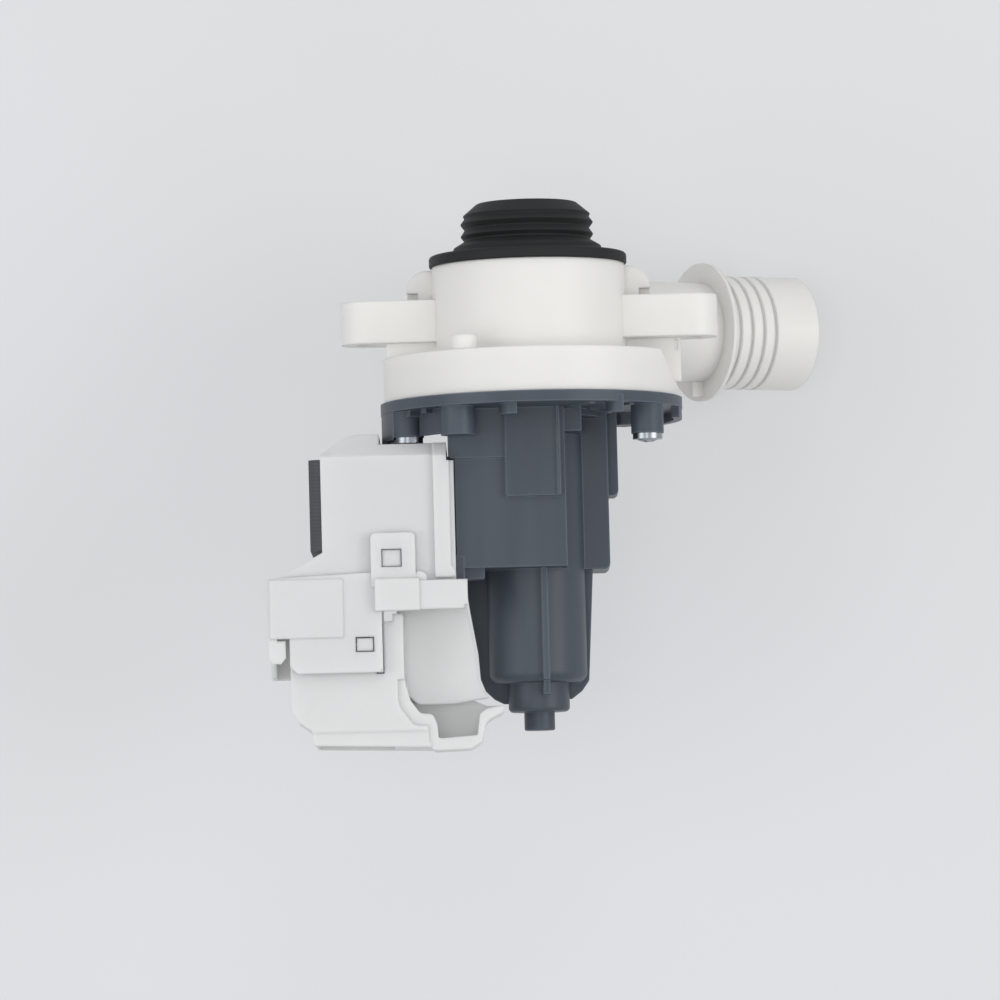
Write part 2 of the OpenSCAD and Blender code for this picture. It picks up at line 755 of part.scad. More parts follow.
module bearing_carrier() {
    color(gray_c) difference() {
        union() {
            at(-seat_recess_h) cylinder(r = seat_recess_r - 0.1, h = seat_recess_h - 0.4);
            at(-carrier_h) cylinder(r = carrier_r, h = carrier_h - 1);
        }
        at(-carrier_h - 1) cylinder(r = shaft_r + 0.8, h = carrier_h + 2);
        at(-carrier_h + 0.6) cylinder(r = front_bush_r + 0.05, h = carrier_h);
        at(-seal_h + 0.6) cylinder(r = seal_r, h = seal_h);
        for (a = [30:60:330]) rotate([0, 0, a]) translate([9.2, 0, 0]) at(-carrier_h - 1) cylinder(r = 1.1, h = 20);
    }
}

module shaft_seal() {
    lip = 1.1;
    color(rubber_c) at(-seal_h + 0.8) difference() {
        tube(seal_r - 0.1, shaft_r + run_clear, seal_h - 0.6);
        translate([0, 0, lip]) tube(seal_r - 1.4, shaft_r + 0.9, seal_h);
    }
}

module rear_bearing() {
    color(rubber_c) at(-cup_top - bush_h) tube(bush_r, shaft_r + run_clear, bush_h);
}

module rear_bearing_cup() {
    color(rubber_c) at(-cup_top - cup_h) difference() {
        cylinder(r = cup_r, h = cup_h);
        translate([0, 0, cup_floor]) cylinder(r = bush_r + 0.05, h = cup_h);
        translate([0, 0, -1]) cylinder(r = shaft_r + 0.3, h = cup_h);
    }
}

module thrust_washers() {
    color(zinc_c) {
        at(-cup_top) tube(dog_bore - 0.2, shaft_r + 0.15, 0.8);
        at(-carrier_h - 0.9) tube(dog_bore - 0.2, shaft_r + 0.15, 0.8);
    }
}

module stator_core() {
    color(steel_c) difference() {
        union() {
            at(-stack_end) span([-yoke_x, -leg_out, 0], [-yoke_in, leg_out, stack_h]);
            for (s = [-1, 1]) scale([1, s, 1])
                at(-stack_end) span([-yoke_x + 1, leg_in, 0], [leg_end, leg_out, stack_h]);
        }
        at(-stack_end - 1) cylinder(r = pole_r, h = stack_h + 2);
        // bevel on the yoke's lower outer edge and the rivet holes
        for (s = [-1, 1]) translate([-pin_x, s * leg_y, 0]) at(-stack_end - 1) cylinder(r = 1.6, h = stack_h + 2);
        translate([-yoke_in + 4, 0, 0]) at(-stack_end - 1) cylinder(r = 2.4, h = stack_h + 2);
        for (s = [-1, 1]) translate([-yoke_x, s * (leg_out + 1.2), 0]) at(-stack_end - 1)
            rotate([0, 0, 45]) cube([4, 4, stack_h * 3], center = true);
    }
}

module stator_pins() {
    head = 0.6;
    color(zinc_c) for (s = [-1, 1]) translate([-pin_x, s * leg_y, 0]) {
        at(-stack_end - head / 2) cylinder(r = 1.55, h = stack_h + head);
        at(-stack_end - head) cylinder(r = 2.2, h = head - eps);
        at(-stack_top + eps) cylinder(r = 2.2, h = head - eps);
    }
}

module coil_side(line) {
    // side outline that clips a coil's upper outer corner to the cover's slope
    k = line + stack_z - leg_y;
    rotate([90, 0, 90]) translate([0, 0, -30]) linear_extrude(60)
        polygon([[-20, -30], [20, -30], [20, k - 20], [k - 30, 30], [-20, 30]]);
}

module bobbin(s) {
    color(white_c) scale([1, s, 1]) translate([0, leg_y, joint_z - stack_z]) difference() {
        union() {
            span([-bob_left, -bob_out_y, -bob_out_z], [-bob_right, bob_out_y, bob_out_z]);
            intersection() {
                for (x = [-bob_left, -bob_right - bob_flange_t])
                    span([x, -bob_out_y - wind_ty - bob_rim, -bob_out_z - wind_tz - bob_rim],
                         [x + bob_flange_t, bob_out_y + wind_ty + bob_rim, bob_out_z + wind_tz + bob_rim]);
                translate([-40, 0, 0]) coil_side(cover_room_line - 0.15);
            }
        }
        span([-bob_left - 1, -bob_in_y, -bob_in_z], [-bob_right + 1, bob_in_y, bob_in_z]);
    }
}

module winding(s) {
    g = 0.1;
    color(copper_c) scale([1, s, 1]) translate([0, leg_y, joint_z - stack_z]) difference() {
        intersection() {
            span([-bob_left + bob_flange_t + g, -bob_out_y - wind_ty, -bob_out_z - wind_tz],
                 [-bob_right - bob_flange_t - g, bob_out_y + wind_ty, bob_out_z + wind_tz]);
            translate([-40, 0, 0]) coil_side(cover_room_line - 0.3);
        }
        span([-bob_left - 1, -bob_out_y - g, -bob_out_z - g], [-bob_right + 1, bob_out_y + g, bob_out_z + g]);
    }
}

module bobbin_front() {
    bobbin(-1);
}

module bobbin_rear() {
    bobbin(1);
}

module winding_front() {
    winding(-1);
}

module winding_rear() {
    winding(1);
}

module thermal_cutout() {
    floor_h = bob_out_z + wind_tz;
    color([0.2, 0.2, 0.22]) {
        at(-stack_z - floor_h - 3.6) span([-46, -19, 0], [-34, -12.5, 3.5]);
        at(-stack_z - floor_h - 3) translate([-34.01, -15.7, 1.2]) rotate([0, 90, 0]) cylinder(r = 0.6, h = 3);
    }
}

module terminal_block() {
    // carries the tabs, and hangs under the coil cover
    top = cover_end + fit_gap;
    color(gray_c) difference() {
        union() {
            at(-block_end) span([-block_left, block_y0, 0], [-block_right, block_y1, block_end - top - 3]);
            at(-top - 3.2) span([-block_left - 3, block_y0 - 3, 0], [-block_right + 1, block_y1 + 2, 3.2]);
        }
        for (y = tab_ys) at(-block_end - 1)
            span([-tab_mid - tab_w / 2 - 0.05, y - tab_t / 2 - 0.05, 0],
                 [-tab_mid + tab_w / 2 + 0.05, y + tab_t / 2 + 0.05, slot_h + 1.2]);
    }
}

module terminal_tabs() {
    color(zinc_c) for (y = tab_ys) difference() {
        at(-tab_end) span([-tab_mid - tab_w / 2, y - tab_t / 2, 0],
            [-tab_mid + tab_w / 2, y + tab_t / 2, tab_end - block_end + slot_h]);
        at(-tab_end + 5) translate([-tab_mid, y - 3, 0]) rotate([-90, 0, 0]) cylinder(r = 0.9, h = 6);
    }
}

module lead_links() {
    // ends of the coils that drop to the terminal block
    color(copper_c) for (y = [-7.5, 7.5])
        at(-cover_end - fit_gap) translate([-47.5, y, 0])
            cylinder(r = 0.6, h = cover_end + fit_gap - stack_z - bob_out_z - wind_tz - 0.05);
}

module cover_section(grow) {
    // front outline of the coil cover, with the slope at its lower left
    w = grow;
    hump = cover_top - 3;
    translate([0, joint_z]) polygon([[-cover_x - w, -hump - 5.8], [-cover_x + 6.6 - w / 2, -hump - 0.9 + w],
        [-cover_x + 10, -hump + w], [-hump_x + w, -hump + w], [-hump_x + w, -cover_top + w],
        [-cover_right + w, -cover_top + w], [-cover_right + w, -cover_end - w], [-cover_x - slope_w - w, -cover_end - w],
        [-cover_x - slope_w - w, -cover_end + 1.2], [-cover_x - w, -slope_top + w / 2]]);
}

module upright(y0, y1) {
    translate([0, y1, 0]) rotate([90, 0, 0]) linear_extrude(y1 - y0) children();
}

module cover_side(y0, line) {
    // side outline with sloping upper front and back edges
    rotate([90, 0, 90]) translate([0, 0, -big]) linear_extrude(big) translate([0, joint_z])
        polygon([[-y0, -big], [-y0, line - y0], [-line - 5, -5], [line + 5, -5], [y0, line - y0], [y0, -big]]);
}

module coil_cover() {
    color(cool_c) difference() {
        union() {
            intersection() {
                upright(-cover_y, cover_y) cover_section(0);
                cover_side(cover_y + 1, cover_line);
            }
            // raised band at the right edge
            intersection() {
                upright(-cover_y - band_t, cover_y + band_t) translate([0, joint_z])
                    polygon([[-cover_right - band_w, -cover_top], [-cover_right - 1.2, -cover_top],
                             [-cover_right - 1.2, -cover_end + 4], [-cover_right, -cover_end + 2],
                             [-cover_right, -cover_end + 0.8], [-cover_right - band_w, -cover_end + 0.8]]);
                cover_side(cover_y + band_t + 1, cover_line + 1.2);
            }
            // nub that the latch of the collar snaps over
            upright(-cover_y - 2.2, -cover_y + 0.5) translate([-nub_mid, joint_z - nub_h])
                square([nub_w, 4.4], center = true);
        }
        intersection() {
            upright(-cover_y + cover_wall, cover_y - cover_wall) intersection() {
                cover_section(-cover_wall);
                translate([-cover_x - 30, joint_z - cover_end])
                    square([30 + cover_x - cover_right - cover_wall, cover_h]);
            }
            cover_side(cover_y, cover_room_line);
        }
        // the way in for the yoke, and the ways out for the two legs
        upright(-cover_y + cover_wall, cover_y - cover_wall) translate([-cover_x - 5, joint_z - stack_end - 0.6])
            square([8, stack_h + 1.9]);
        for (s = [-1, 1]) scale([1, s, 1])
            at(-stack_end - 0.6) span([-cover_right - 4, leg_in - 0.6, 0], [-cover_right + 3, leg_out + 0.6, stack_h + 1.2]);
        // room for the head of the screw above
        at(-boss_depths[0] - head_h - 0.3) rotate([0, 0, screw_turns[0]]) translate([screw_circle, 0, 0])
            cylinder(r = head_r + 0.4, h = 8);
        // the corner that the gray collar fills
        at(-collar_end - 0.6) span([-pocket_left - 2.2, -cover_y - 5, 0], [0, cover_y + 5, 10]);
        // the lower opening for the ends of the coils
        at(-cover_end - 1) span([-56, -10, 0], [-44, 10, 4]);
    }
}

module clip_plate() {
    // front plate with a hook finger at its left
    x = shroud_left;
    b = clip_end;
    translate([0, joint_z]) difference() {
        polygon([[-clip_x, -clip_rise - 1], [-clip_edge - 4.3, -clip_rise], [-clip_edge, -clip_rise],
                 [-clip_edge, -b + 1], [-clip_edge - 1, -b], [-x + 2, -b], [-x, -b + 2], [-x, -b + 3],
                 [-x - 1.2, -b + 4.2], [-x - 2.4, -b + 2.8], [-clip_x + 1.2, -b + 2.8], [-clip_x, -b + 4]]);
        translate([-x - hook_gap, -b - 1]) square([hook_gap, b - hook_top + 1]);
        translate([-x - 3.3, -hook_top - 1.7]) square([2.6, 1.7]);
    }
}

module clip_collar() {
    front = -cover_y - fit_gap;
    color(white_c) difference() {
        union() {
            upright(front - clip_wall, front) clip_plate();
            // step at the plate's left half
            upright(front - clip_wall - 0.35, front) translate([-clip_x + 0.6, joint_z - hook_top - 1.1])
                square([clip_x - step_x, hook_top - clip_rise - 0.3]);
            // side walls and the back wall
            at(-hook_top) span([-clip_x, front - 0.1, 0], [-clip_x + clip_wall, clip_back, hook_top - clip_top]);
            at(-clip_end) span([-clip_right, front - 0.1, 0], [-clip_edge, clip_back, clip_h]);
            at(-clip_end) span([-clip_x, clip_back - clip_wall, 0], [-clip_edge, clip_back, clip_h]);
            at(-clip_end) span([-clip_x, 0, 0], [-clip_x + clip_wall, clip_back, clip_h]);
            // latch tower over the cover's nub
            upright(front - clip_wall - 0.9, front) translate([0, joint_z])
                polygon(soft([[-nub_mid - 5.6, -clip_rise - 4], [-nub_mid - 5.6, -tower_top], [-nub_mid + 6.4, -tower_top],
                              [-nub_mid + 6.4, -clip_rise - 4]], [0, 1.4, 1.4, 0]));
            // block and strap towards the motor housing
            at(-strap_end - 0.2) span([-clip_edge - 1.7, front - clip_wall - 2.2, 0], [-strap_left, front + 0.1, strap_h + 0.8]);
            at(-strap_end) span([-strap_left - 0.2, front - clip_wall - 1.6, 0], [-strap_right - 0.9, front - 0.6, strap_h]);
            at(-strap_end + 1) span([-strap_right - 1, front - clip_wall - 1.6, 0], [-strap_right, front - 0.6, strap_h - 1]);
            // inner tongue that lies against the gray lug
            at(-strap_end + 0.6) span([-strap_left - 0.2, front - 0.7, 0], [-strap_left + 1.6, -slab_y - 0.6, strap_h - 1.8]);
            at(-strap_end + 0.6) span([-strap_left - 0.2, -slab_y - 2.2, 0], [-strap_right - 0.7, -slab_y - 0.6, strap_h - 1.8]);
            // round knuckle on the block
            translate([-strap_left + 0.2, 0, joint_z - clip_rise - 1.8]) upright(front - clip_wall - 0.6, front) circle(r = 1.9);
        }
        // window of the latch
        upright(front - 10, front + 1) translate([-nub_mid, joint_z - nub_h])
            square([nub_w + 0.4, 4.8], center = true);
        // slot for the shroud's snap nub
        upright(front - 10, front + 1) translate([-snap_mid, joint_z - snap_h]) square([5, 4], center = true);
    }
}

module shroud_front() {
    // outline of the box seen from the front; its lower right follows the tray
    x = -shroud_left;
    r = -box_edge;
    e = shroud_end;
    translate([0, joint_z]) polygon(soft([[x, -shroud_top], [x, -e + 11.1], [x + 1.6, -e + 8.2], [x + 5.3, -e + 5.6],
        [x + 5.6, -e + 1.6], [r + 10.2, -e + 0.6], [r + 9.1, -e + 2.2], [r + 8.9, -e + 6.4], [r + 5.2, -e + 6.4],
        [r + 1, -e + 12], [r + 1, -shroud_top]],
        [0, 2.5, 1.8, 0.8, 1.2, 0.4, 0.6, 0.6, 2.5, 6, 0]));
}

module shroud_hollow(w) {
    // room round the plug, seen from the front
    x = -shroud_left + w;
    e = shroud_end;
    translate([0, joint_z]) polygon([[x, -shroud_top + 8 * w], [x, -e + 11.1], [x + 1.8, -e + 8.4],
        [-shroud_left + 6.8, -e + 6], [-shroud_left + 6.8, -e - 2], [-box_edge - 0.4, -e - 2],
        [-box_edge - 0.4, -shroud_top + 8 * w]]);
}

module shroud_side() {
    // side outline: a shallow step near the mouth
    y = -shroud_y;
    e = shroud_end;
    translate([0, joint_z]) polygon([[y, -shroud_top + 1], [y, -e + 5.4], [y + 0.5, -e + 4.8], [y + 0.5, -e - 1],
        [shroud_back, -e - 1], [shroud_back, -shroud_top + 1]]);
}

module tray_line() {
    // outline of the open tray at the right of the box
    x = -box_edge;
    e = shroud_end;
    translate([0, joint_z]) polygon(soft([[x + 0.2, -shroud_top + 1.8], [x + 0.2, -e + 11.5], [x + 4.6, -e + 5.5],
        [x + 8.1, -e + 5.5], [x + 8.3, -e + 2], [x + 10.3, -e - 0.4], [x + 20.2, -e - 0.2], [x + 23.4, -e + 1.8],
        [x + 24.4, -e + 7], [x + 29.3, -e + 9.6], [x + 29.3, -e + 11.8], [x + 24.7, -e + 11.8],
        [x + 0.9, -shroud_top + 1.8]],
        [0, 6, 2.5, 0.8, 1.6, 1.6, 2.4, 1.6, 3, 0.9, 0.9, 0, 0]));
}

module tray_room() {
    x = -box_edge;
    e = shroud_end;
    translate([0, joint_z]) polygon(soft([[x + 3, -shroud_top + 0.8], [x + 3, -e + 18], [x + 4.3, -e + 13.2],
        [x + 6.9, -e + 9.6], [x + 10.2, -e + 9.5], [x + 11.4, -e + 6.4], [x + 11.6, -e + 2.8], [x + 22.1, -e + 3.5],
        [x + 22.8, -e + 9.2], [x + 24.9, -e + 10.6], [x + 29.9, -e + 11.5], [x + 29.9, -e + 14.4],
        [x + 18.9, -shroud_top + 3.8]],
        [0, 3, 3, 2, 1.6, 2, 0.8, 0.6, 1.4, 1.2, 0, 0, 0]));
}

module panel_line() {
    // upright panel beside the can; its right edge keeps clear of the fin
    x = -box_edge + 1;
    e = shroud_end;
    r = -can_r - 0.7;
    b = can_h;
    translate([0, joint_z]) polygon(soft([[x, -cover_end - 1.2], [r - 5.6, -cover_end - 1.2], [r - 4.9, -b + 20.7 * fin_k],
        [r - 2.9, -b + 8.7 * fin_k], [r - 2.4, -b + 1.5 * fin_k], [r - 1.1, -b - 1.9], [r + 0.9, -b - 3.9],
        [x + 15, -e + 12.4],
        [x + 5.3, -e + 12.4], [x + 3.2, -e + 14.4], [x, -e + 18]],
        [0, 0, 4, 4, 1.5, 1.5, 0.4, 3, 1.2, 2, 0]));
}

module terminal_shroud() {
    w = shroud_wall;
    arm_top = strap_end + 0.8;
    color(cool_c) difference() {
        union() {
            intersection() {
                upright(-40, 40) shroud_front();
                rotate([90, 0, 90]) translate([0, 0, -100]) linear_extrude(90) shroud_side();
            }
            // neck inside the clip collar
            at(-clip_end - fit_gap) span([-shroud_left, -shroud_y, 0], [-neck_right, clip_back - clip_wall - fit_gap, 8.3]);
            // arm beside the collar, with a notch under the strap
            at(-clip_end - 2) span([-box_edge, -shroud_y, 0], [-box_edge + 2.8, panel_y + 1.8, clip_end + 2 - arm_top]);
            at(-clip_end - 2) span([-clip_edge + 0.4, -shroud_y, 0], [-box_edge + 0.2, -shroud_y + 5, clip_end - arm_top]);
            // panel and the tray below it
            upright(panel_y, panel_y + 1.8) panel_line();
            difference() {
                upright(-tray_y, tray_back) tray_line();
                upright(-tray_y - 1, tray_back - 1.8) tray_room();
            }
            // snap nub on the neck
            upright(-cover_y - 1.5, -shroud_y + 0.5) translate([-snap_mid, joint_z - snap_h]) square([4.4, 3.4], center = true);
        }
        intersection() {
            upright(-shroud_y + w + 1, shroud_back - w) shroud_hollow(w);
            span([-big, -big, -big], [-neck_right - w, big, big]);
        }
        intersection() {
            upright(-shroud_y + w + 1, shroud_back - w) shroud_hollow(w);
            span([-big, -big, -big], [0, big, joint_z - clip_end - fit_gap - w]);
        }
    }
}

volute_housing();
inlet_boot();
volute_gasket();
housing_screws();
motor_housing();
impeller();
impeller_shaft();
drive_dog();
magnet_carrier();
rotor_magnet();
front_bearing();
bearing_carrier();
shaft_seal();
rear_bearing();
rear_bearing_cup();
thrust_washers();
stator_core();
stator_pins();
bobbin_front();
bobbin_rear();
winding_front();
winding_rear();
thermal_cutout();
terminal_block();
terminal_tabs();
lead_links();
coil_cover();
clip_collar();
terminal_shroud();
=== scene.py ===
import math

import bmesh
import bpy
from mathutils import Euler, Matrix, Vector

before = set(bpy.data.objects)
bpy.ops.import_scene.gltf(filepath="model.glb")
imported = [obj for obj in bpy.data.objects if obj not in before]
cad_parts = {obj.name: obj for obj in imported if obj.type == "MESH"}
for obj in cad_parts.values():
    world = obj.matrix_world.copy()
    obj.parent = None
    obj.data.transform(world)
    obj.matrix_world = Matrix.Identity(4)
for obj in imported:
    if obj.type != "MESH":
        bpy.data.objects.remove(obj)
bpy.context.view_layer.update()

MM = 0.001
JOINT_Z = -28 * MM  # joint plane between the volute and the motor housing

# Moulded plastic
GRAIN_DEPTH = 0.04 * MM
GRAIN_SCALE = 900
EDGE_MASK_RADIUS = 0.8 * MM
SCATTER_DEPTH = 4 * MM
BEVEL_SAMPLES = 4
NOISE_LOW, NOISE_HIGH = 0.3, 0.7  # the part of a noise's range that holds most of it


class Nodes:
    """Small helper that builds a node material line by line."""

    def __init__(self, name):
        self.mat = bpy.data.materials.new(name)
        self.mat.use_nodes = True
        self.tree = self.mat.node_tree
        self.tree.nodes.clear()
        self.out = self.tree.nodes.new("ShaderNodeOutputMaterial")
        self.bsdf = self.tree.nodes.new("ShaderNodeBsdfPrincipled")
        self.link(self.bsdf, "BSDF", self.out, "Surface")
        self.coord = self.tree.nodes.new("ShaderNodeTexCoord")

    def add(self, kind, **values):
        node = self.tree.nodes.new(kind)
        for key, value in values.items():
            setattr(node, key, value)
        return node

    def link(self, a, a_name, b, b_name):
        self.tree.links.new(a.outputs[a_name], b.inputs[b_name])

    def mapping(self, scale):
        node = self.add("ShaderNodeMapping")
        node.inputs["Scale"].default_value = scale
        self.link(self.coord, "Object", node, "Vector")
        return node

    def noise(self, scale, detail=3.0, rough=0.55, stretch=(1, 1, 1)):
        mapped = self.mapping(stretch)
        node = self.add("ShaderNodeTexNoise")
        node.inputs["Scale"].default_value = scale
        node.inputs["Detail"].default_value = detail
        node.inputs["Roughness"].default_value = rough
        self.link(mapped, "Vector", node, "Vector")
        return node

    def ramp(self, source, stops, output="Fac"):
        node = self.add("ShaderNodeValToRGB")
        ramp = node.color_ramp
        while len(ramp.elements) < len(stops):
            ramp.elements.new(0.5)
        for element, (pos, color) in zip(ramp.elements, stops):
            element.position = pos
            element.color = (*color, 1) if len(color) == 3 else color
        self.link(source, output, node, "Fac")
        return node

    def spread(self, source, low, high, output="Fac",
               from_low=NOISE_LOW, from_high=NOISE_HIGH):
        node = self.add("ShaderNodeMapRange")
        node.inputs["From Min"].default_value = from_low
        node.inputs["From Max"].default_value = from_high
        node.inputs["To Min"].default_value = low
        node.inputs["To Max"].default_value = high
        self.tree.links.new(source.outputs[output], node.inputs["Value"])
        return node

    def blend(self, kind, factor, first, second):
        node = self.add("ShaderNodeMix", data_type="RGBA", blend_type=kind)
        if isinstance(factor, float):
            node.inputs["Factor"].default_value = factor
        else:
            self.tree.links.new(factor, node.inputs["Factor"])
        self.tree.links.new(first, node.inputs[6])
        self.tree.links.new(second, node.inputs[7])
        return node.outputs[2]

    def edge_mask(self, radius, strength):
        """Rises where the rounded normal leaves the true one, which is along edges."""
        soft = self.add("ShaderNodeBevel")
        soft.samples = BEVEL_SAMPLES
        soft.inputs["Radius"].default_value = radius
        true = self.add("ShaderNodeNewGeometry")
        dot = self.add("ShaderNodeVectorMath", operation="DOT_PRODUCT")
        self.link(soft, "Normal", dot, 0)
        self.link(true, "Normal", dot, 1)
        return self.spread(dot, strength, 0.0, "Value", 0.8, 0.97).outputs["Result"]

    def bump(self, height, output, strength, distance, edge=0.0):
        node = self.add("ShaderNodeBump")
        node.inputs["Strength"].default_value = strength
        node.inputs["Distance"].default_value = distance
        self.tree.links.new(height.outputs[output], node.inputs["Height"])
        if edge:
            soft = self.add("ShaderNodeBevel")
            soft.samples = BEVEL_SAMPLES
            soft.inputs["Radius"].default_value = edge
            self.link(soft, "Normal", node, "Normal")
        self.link(node, "Normal", self.bsdf, "Normal")
        return node


def srgb(r, g, b):
    def one(v):
        v /= 255
        return v / 12.92 if v <= 0.04045 else ((v + 0.055) / 1.055) ** 2.4

    return (one(r), one(g), one(b))


def moulded(name, base, spread_by, rough, edge=0.4 * MM, bump=0.12,
            deep=0.0, streaks=0.0, edge_highlight=0.0):
    """Moulded plastic: faint flow mottling, fine grain, softly rounded edges and, where asked,
    a painted highlight along the edges.
    """
    m = Nodes(name)
    flow = m.noise(18, 4, 0.6)
    dark = tuple(c * (1 - spread_by) for c in base)
    light = tuple(min(1, c * (1 + spread_by)) for c in base)
    tone = m.ramp(flow, [(NOISE_LOW, dark), (NOISE_HIGH, light)]).outputs["Color"]
    if streaks:
        run = m.noise(70, 3, 0.6, (1, 1, 0.12))
        lines = m.ramp(run, [(0.35, (1 - streaks,) * 3), (0.65, (1, 1, 1))])
        tone = m.blend("MULTIPLY", 1.0, tone, lines.outputs["Color"])
    # Painted highlight: a lighter tone is mixed in along the edges, where the rounded normal
    # bends away from the true one
    if edge_highlight:
        highlight_tone = m.add("ShaderNodeRGB")
        highlight_tone.outputs[0].default_value = (*(min(1, c * 1.9 + 0.02) for c in base), 1)
        mask = m.edge_mask(EDGE_MASK_RADIUS, edge_highlight)
        tone = m.blend("MIX", mask, tone, highlight_tone.outputs[0])
    m.tree.links.new(tone, m.bsdf.inputs["Base Color"])
    fine = m.noise(GRAIN_SCALE, 2, 0.5)
    m.link(m.spread(flow, rough - 0.05, rough + 0.06), "Result", m.bsdf, "Roughness")
    m.bsdf.inputs["Specular IOR Level"].default_value = 0.4
    if deep:
        m.bsdf.inputs["Subsurface Weight"].default_value = deep
        m.bsdf.inputs["Subsurface Radius"].default_value = (1.0, 0.95, 0.9)
        m.bsdf.inputs["Subsurface Scale"].default_value = SCATTER_DEPTH
    m.bump(fine, "Fac", bump, GRAIN_DEPTH, edge)
    return m.mat


def rubber(name, base, rough=0.62):
    m = Nodes(name)
    cloud = m.noise(40, 3, 0.6)
    dull = tuple(c * 0.8 for c in base)
    bright = tuple(c * 1.25 for c in base)
    color = m.ramp(cloud, [(NOISE_LOW, dull), (NOISE_HIGH, bright)])
    m.link(color, "Color", m.bsdf, "Base Color")
    m.link(m.spread(cloud, rough - 0.06, rough + 0.08), "Result", m.bsdf, "Roughness")
    m.bsdf.inputs["Specular IOR Level"].default_value = 0.32
    fine = m.noise(1400, 2, 0.6)
    m.bump(fine, "Fac", 0.2, 0.05 * MM, 0.3 * MM)
    return m.mat


def metal(name, base, rough, stretch=(1, 1, 1)):
    m = Nodes(name)
    streak = m.noise(300, 3, 0.6, stretch)
    dull = tuple(c * 0.85 for c in base)
    bright = tuple(min(1, c * 1.1) for c in base)
    color = m.ramp(streak, [(NOISE_LOW, dull), (NOISE_HIGH, bright)])
    m.link(color, "Color", m.bsdf, "Base Color")
    m.bsdf.inputs["Metallic"].default_value = 1.0
    m.link(m.spread(streak, rough - 0.07, rough + 0.1), "Result", m.bsdf, "Roughness")
    m.bump(streak, "Fac", 0.15, 0.03 * MM, 0.2 * MM)
    return m.mat


def laminated(name, base):
    """Stacked dark sheets: fine lines across the stack's height."""
    m = Nodes(name)
    wave = m.add("ShaderNodeTexWave", wave_type="BANDS", bands_direction="Z")
    wave.inputs["Scale"].default_value = 320
    wave.inputs["Distortion"].default_value = 0.6
    wave.inputs["Detail"].default_value = 1.5
    wave.inputs["Detail Scale"].default_value = 3
    m.link(m.coord, "Object", wave, "Vector")
    blotch = m.noise(120, 4, 0.6)
    stripes = m.ramp(wave, [(0.1, tuple(c * 0.88 for c in base)), (0.6, base)])
    patches = m.ramp(blotch, [(NOISE_LOW, (0.8, 0.79, 0.78)), (NOISE_HIGH, (1, 1, 1))])
    tone = m.blend("MULTIPLY", 0.55, stripes.outputs["Color"], patches.outputs["Color"])
    m.tree.links.new(tone, m.bsdf.inputs["Base Color"])
    m.bsdf.inputs["Metallic"].default_value = 0.6
    m.bsdf.inputs["Roughness"].default_value = 0.5
    m.bump(wave, "Fac", 0.1, 0.04 * MM)
    return m.mat


def wound(name, base):
    """Enamelled wire laid side by side along the coil, with painted shade in the grooves
    between the wires.
    """
    m = Nodes(name)
    wave = m.add("ShaderNodeTexWave", wave_type="BANDS", bands_direction="X",
                 wave_profile="SIN")
    wave.inputs["Scale"].default_value = 420
    wave.inputs["Distortion"].default_value = 0.3
    m.link(m.coord, "Object", wave, "Vector")
    # Painted shade: the grooves between the wires are darkened to about a third of the copper
    color = m.ramp(wave, [(0.1, tuple(c * 0.35 for c in base)), (0.7, base)])
    m.link(color, "Color", m.bsdf, "Base Color")
    m.bsdf.inputs["Metallic"].default_value = 0.75
    m.bsdf.inputs["Roughness"].default_value = 0.34
    m.bump(wave, "Fac", 0.6, 0.2 * MM)
    return m.mat


# Materials, and the pieces that wear them
WHITE = moulded("volute_white", srgb(229, 228, 225), 0.015, 0.42, edge=0.8 * MM, deep=0.45)
COOL = moulded("cover_white", srgb(217, 218, 218), 0.012, 0.45, edge=0.8 * MM, deep=0.75)
# The gray housing gets a painted highlight along all its edges
GRAY = moulded("housing_gray", srgb(69, 77, 88), 0.06, 0.46,
               bump=0.2, streaks=0.2, edge_highlight=0.9)
DARKER = moulded("inner_gray", srgb(60, 64, 70), 0.08, 0.5)
NATURAL = moulded("bobbin_natural", srgb(222, 218, 205), 0.03, 0.5)
BLACK = rubber("boot_rubber", srgb(23, 24, 25), 0.62)
CARBON = moulded("bearing_carbon", srgb(38, 38, 41), 0.12, 0.4)
ZINC = metal("screw_zinc", srgb(158, 163, 169), 0.28)
STEEL = metal("shaft_steel", srgb(190, 191, 193), 0.2, (1, 1, 0.05))
LAMS = laminated("lamination_steel", srgb(84, 85, 90))
FERRITE = moulded("magnet_ferrite", srgb(52, 52, 55), 0.1, 0.55)
COPPER = wound("coil_copper", srgb(190, 110, 60))

LOOKS = {
    WHITE: ["volute_housing", "impeller", "magnet_carrier"],
    COOL: ["coil_cover", "clip_collar", "terminal_shroud"],
    GRAY: ["motor_housing"],
    DARKER: ["drive_dog", "bearing_carrier", "terminal_block"],
    NATURAL: ["bobbin_front", "bobbin_rear"],
    BLACK: ["inlet_boot", "volute_gasket", "shaft_seal", "rear_bearing_cup"],
    CARBON: ["front_bearing", "rear_bearing", "thermal_cutout"],
    ZINC: ["housing_screws", "stator_pins", "terminal_tabs"],
    STEEL: ["impeller_shaft", "thrust_washers"],
    LAMS: ["stator_core"],
    FERRITE: ["rotor_magnet"],
    COPPER: ["winding_front", "winding_rear", "lead_links"],
}
for material, names in LOOKS.items():
    for name in names:
        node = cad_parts[name]
        node.data.materials.clear()
        node.data.materials.append(material)

# Camera and board stand square to one line of sight, AWAY
TILT = math.radians(3.8)
ROLL = math.radians(1.5)
TARGET = Vector((-9.2 * MM, 0, JOINT_Z - 26.5 * MM))
AWAY = Vector((0, math.cos(TILT), math.sin(TILT)))
CAMERA_DISTANCE = 2.092
LENS = 277.2
BOARD_DISTANCE = 82 * MM  # behind the shaft axis, clear of the part's back
BOARD_HALF = 0.6
FADE_START, FADE_END = 0.22, 0.42  # the board melts into the world's tone beyond the frame


